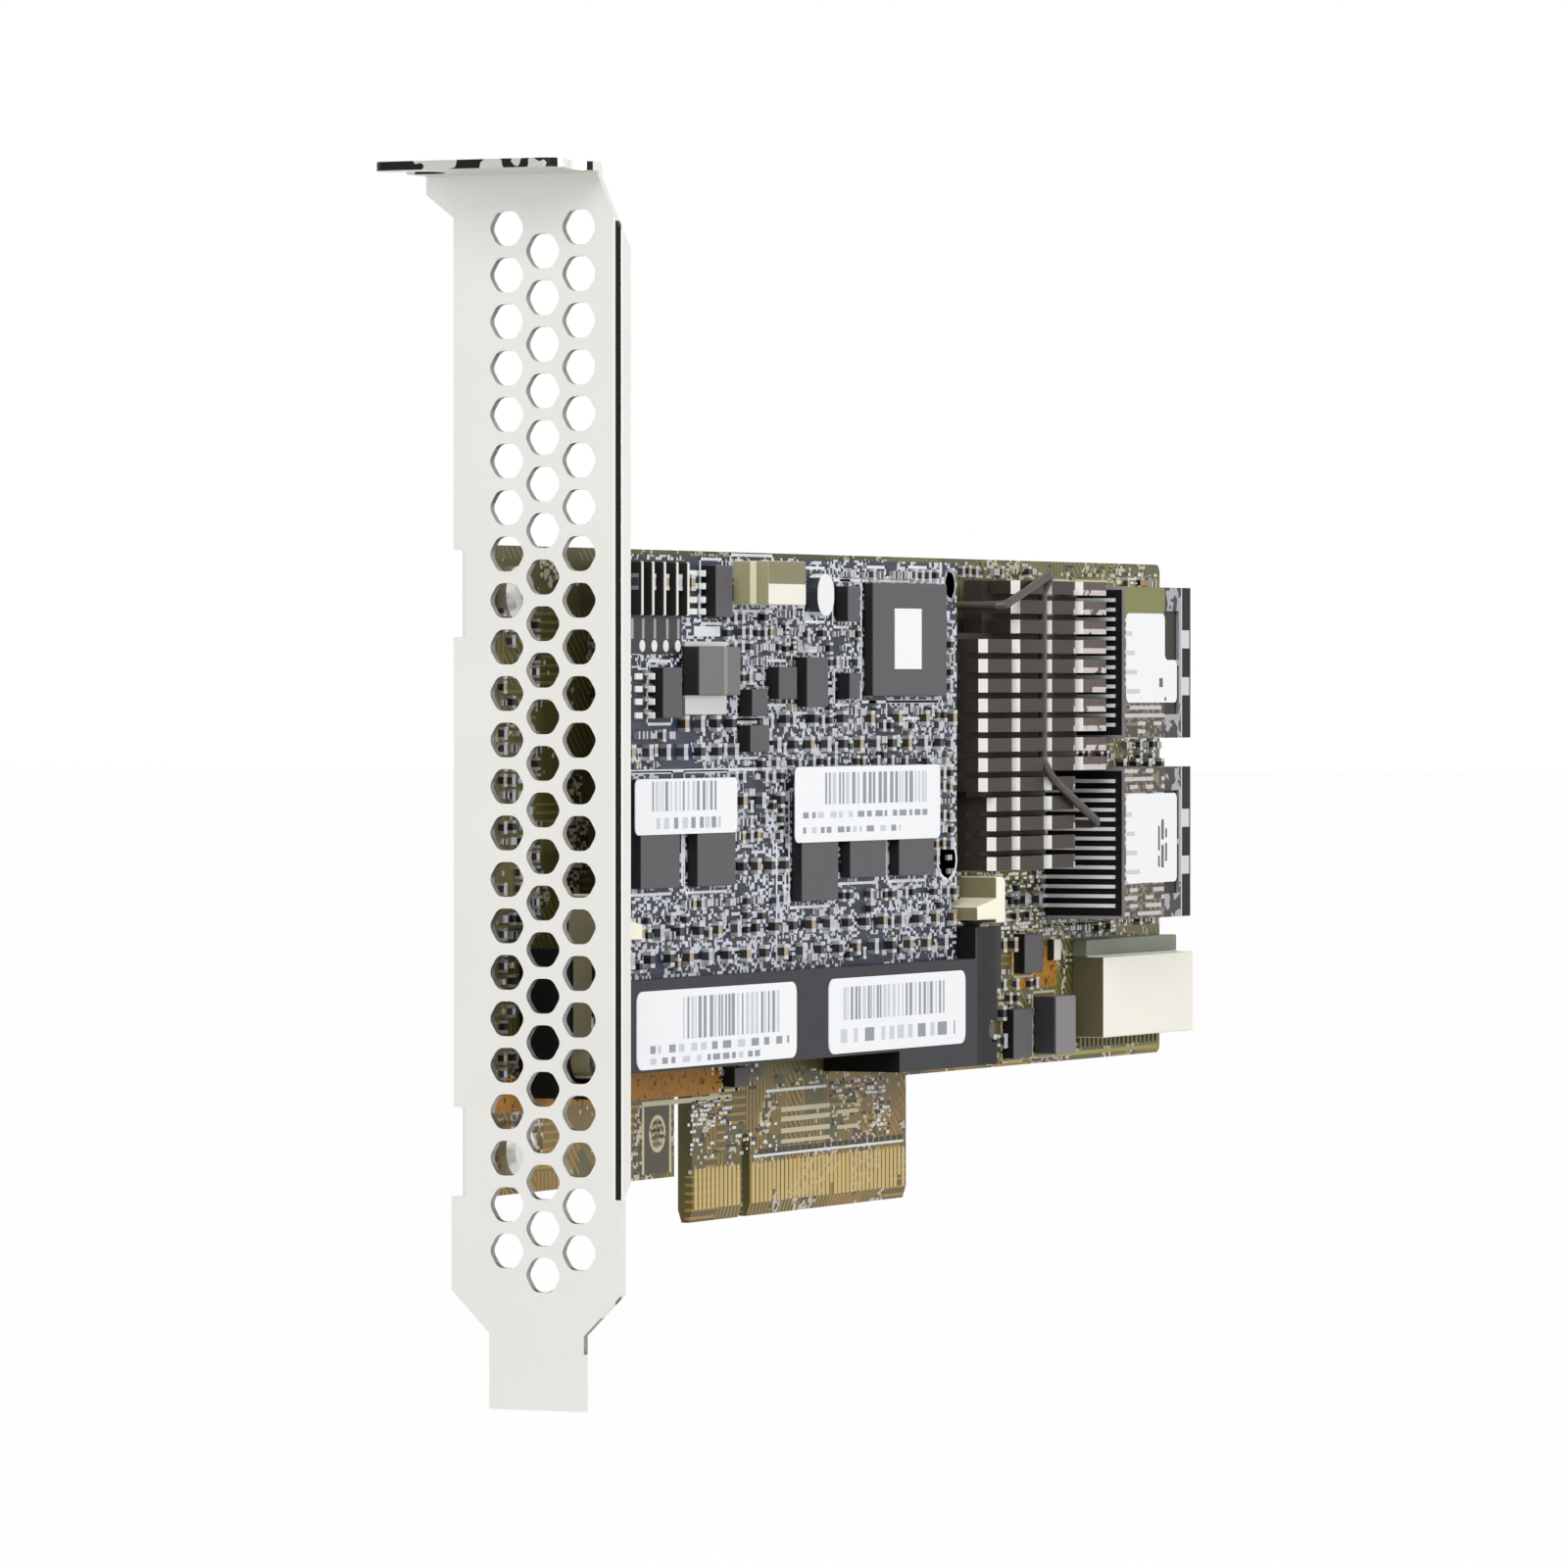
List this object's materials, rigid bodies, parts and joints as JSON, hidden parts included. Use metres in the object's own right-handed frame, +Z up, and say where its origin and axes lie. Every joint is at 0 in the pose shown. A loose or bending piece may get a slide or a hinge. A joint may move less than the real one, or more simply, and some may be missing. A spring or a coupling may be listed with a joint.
{
  "type": "storage controller card",
  "caption": "Low-profile storage controller board on a full-height vented bracket, with a finned heat sink, a latched cache module, two cable ports and a keyed contact edge.",
  "frame": {"origin": "middle of the key notch in the contact edge, on the board mid-plane, at the bottom of the contact tongue", "axes": "+X along the card away from the bracket, +Y out of the solder side, +Z up from the contact edge"},
  "size_m": [0.1798, 0.0211, 0.12],
  "materials": {
    "bracket_steel": "nickel plated, satin",
    "screw_steel": "bright plated",
    "spring_wire": "drawn wire",
    "board_green": "solder mask, semi-gloss",
    "module_blue": "solder mask, semi-gloss",
    "contact_gold": "gold plated",
    "chip_black": "moulded epoxy",
    "pad_grey": "soft pad",
    "sink_anodised": "dark anodised",
    "port_shell": "tin plated",
    "port_plastic": "moulded",
    "pin_silver": "tin plated",
    "label_white": "blank printed label",
    "header_ivory": "moulded",
    "side_ivory": "moulded",
    "crystal_metal": "drawn can",
    "coil_grey": "pressed ferrite",
    "passive_tan": "fired ceramic",
    "socket_black": "moulded",
    "latch_ivory": "moulded"
  },
  "bodies": {
    "card": {"backup_power_header": "header_ivory", "backup_power_pins": "pin_silver", "board_chips": "chip_black", "board_passives": "passive_tan", "bracket_screws": "screw_steel", "cache_board": "module_blue", "cache_chip_leads": "pin_silver", "cache_chips": "chip_black", "cache_coil": "coil_grey", "cache_coil_terminals": "pin_silver", "cache_controller_chip": "chip_black", "cache_label_left": "label_white", "cache_label_right": "label_white", "cache_passives": "passive_tan", "chip_sticker": "label_white", "clip_anchors": "screw_steel", "controller_chip": "chip_black", "crystal_oscillator": "crystal_metal", "edge_contacts_back": "contact_gold", "edge_contacts_front": "contact_gold", "heat_sink": "sink_anodised", "heat_sink_clip": "spring_wire", "io_bracket": "bracket_steel", "main_board": "board_green", "memory_chips": "chip_black", "module_socket": "socket_black", "port_labels": "label_white", "power_inductor": "coil_grey", "sas_port_1_contacts": "pin_silver", "sas_port_1_housing": "port_plastic", "sas_port_1_shell": "port_shell", "sas_port_2_contacts": "pin_silver", "sas_port_2_housing": "port_plastic", "sas_port_2_shell": "port_shell", "side_connector": "side_ivory", "side_connector_contacts": "pin_silver", "socket_label_left": "label_white", "socket_label_right": "label_white", "socket_tails": "pin_silver", "solder_side_passives": "passive_tan", "thermal_pad": "pad_grey"},
    "latch_left": {"latch_left": "latch_ivory"},
    "latch_right": {"latch_right": "latch_ivory"}
  },
  "joints": [
    {"name": "latch_left_pivot", "type": "hinge", "parent": "card", "child": "latch_left", "pos_m": [-0.0495, -0.0074, 0.0178], "axis": [0, -1, 0], "range_deg": [0, 22]},
    {"name": "latch_right_pivot", "type": "hinge", "parent": "card", "child": "latch_right", "pos_m": [0.0431, -0.0074, 0.0178], "axis": [0, 1, 0], "range_deg": [0, 22]}
  ]
}
